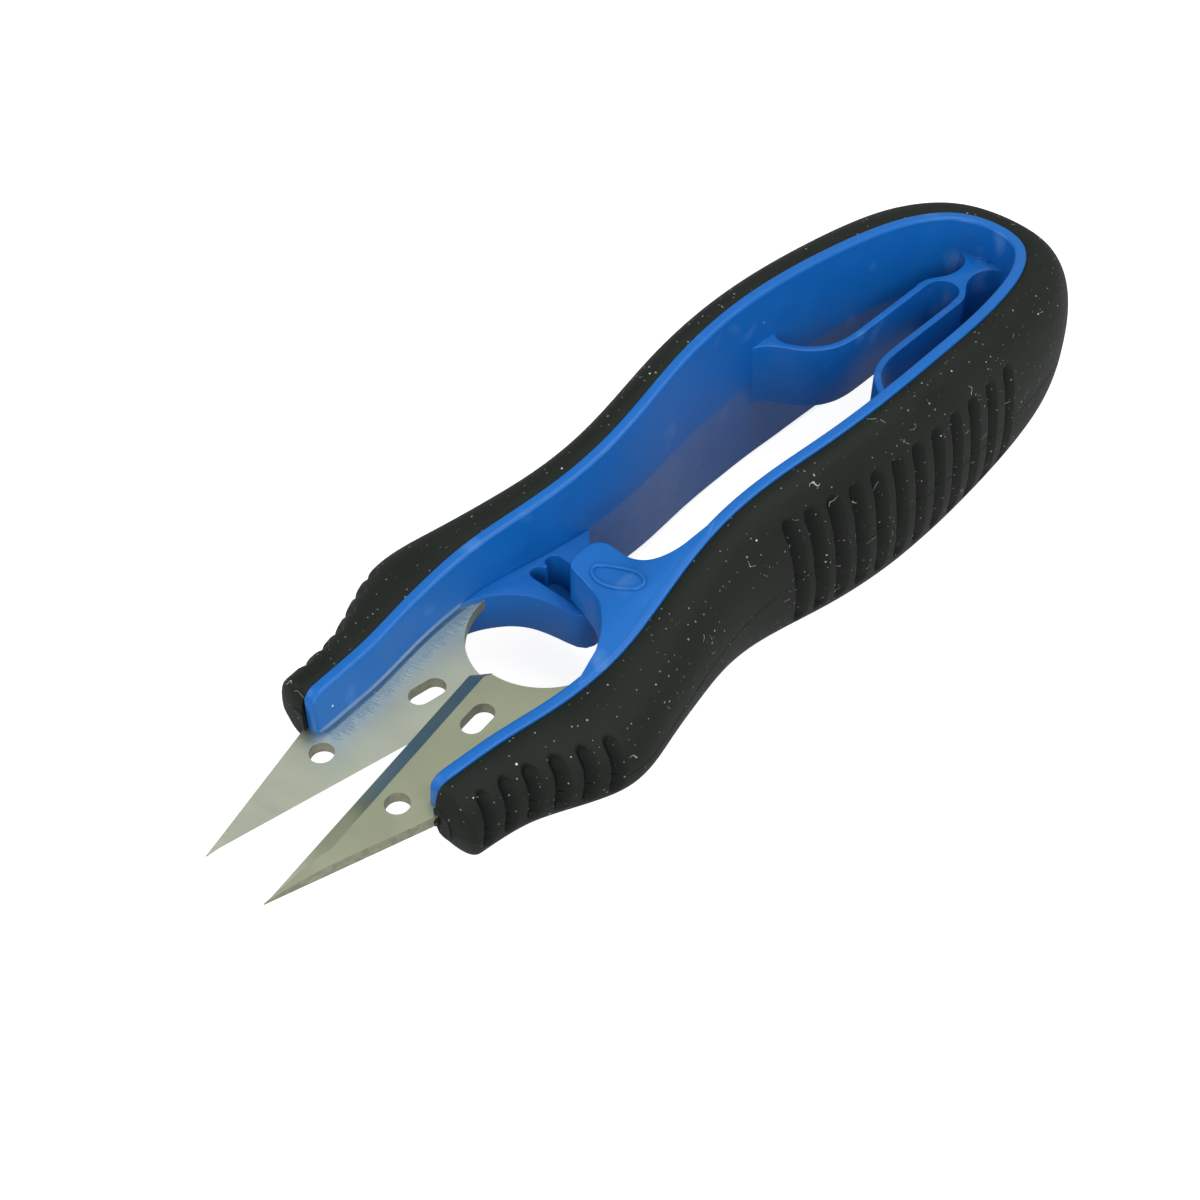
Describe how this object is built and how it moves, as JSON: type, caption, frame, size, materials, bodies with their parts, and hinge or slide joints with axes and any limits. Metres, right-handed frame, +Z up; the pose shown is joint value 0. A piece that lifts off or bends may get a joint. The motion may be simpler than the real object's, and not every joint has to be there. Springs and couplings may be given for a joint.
{
  "type": "thread snips",
  "caption": "Squeeze-action thread snips: a one-piece moulded spring handle with a soft overmoulded grip holds two pointed steel blades that cross when the arms are pressed together.",
  "frame": {"origin": "middle of the footprint, on the surface the snips lie on", "axes": "+X towards the blade tips, +Y towards the arm whose blade is on top, +Z up, square to the blades' meeting plane"},
  "size_m": [0.12, 0.0354, 0.0233],
  "materials": {
    "blue_plastic": "satin moulded",
    "soft_grip": "matt soft overmould",
    "blade_steel": "fine ground"
  },
  "bodies": {
    "bow": {"rear_bow": "blue_plastic", "rear_grip": "soft_grip", "spring_bridge": "blue_plastic", "near_spring_leaf": "blue_plastic", "far_spring_leaf": "blue_plastic"},
    "far_arm": {"far_rail": "blue_plastic", "far_tang_block": "blue_plastic", "far_guide_block": "blue_plastic", "far_blade": "blade_steel", "far_grip": "soft_grip"},
    "near_arm": {"near_rail": "blue_plastic", "near_tang_block": "blue_plastic", "near_tongue": "blue_plastic", "tongue_badge": "blue_plastic", "near_blade": "blade_steel", "near_grip": "soft_grip"}
  },
  "joints": [
    {"name": "far_arm_squeeze", "type": "hinge", "parent": "bow", "child": "far_arm", "pos_m": [-0.0365, -0.0124, 0.0112], "axis": [0, 0, 1], "range_deg": [0, 2.6], "stiffness_Nm_per_rad": 4, "deforming": ["far_spring_leaf"]},
    {"name": "near_arm_squeeze", "type": "hinge", "parent": "bow", "child": "near_arm", "pos_m": [-0.0365, 0.0124, 0.0112], "axis": [0, 0, -1], "range_deg": [0, 2.6], "stiffness_Nm_per_rad": 4, "deforming": ["near_spring_leaf"]}
  ],
  "couplings": [
    {"joint": "near_arm_squeeze", "follows": "far_arm_squeeze", "ratio": 1}
  ]
}
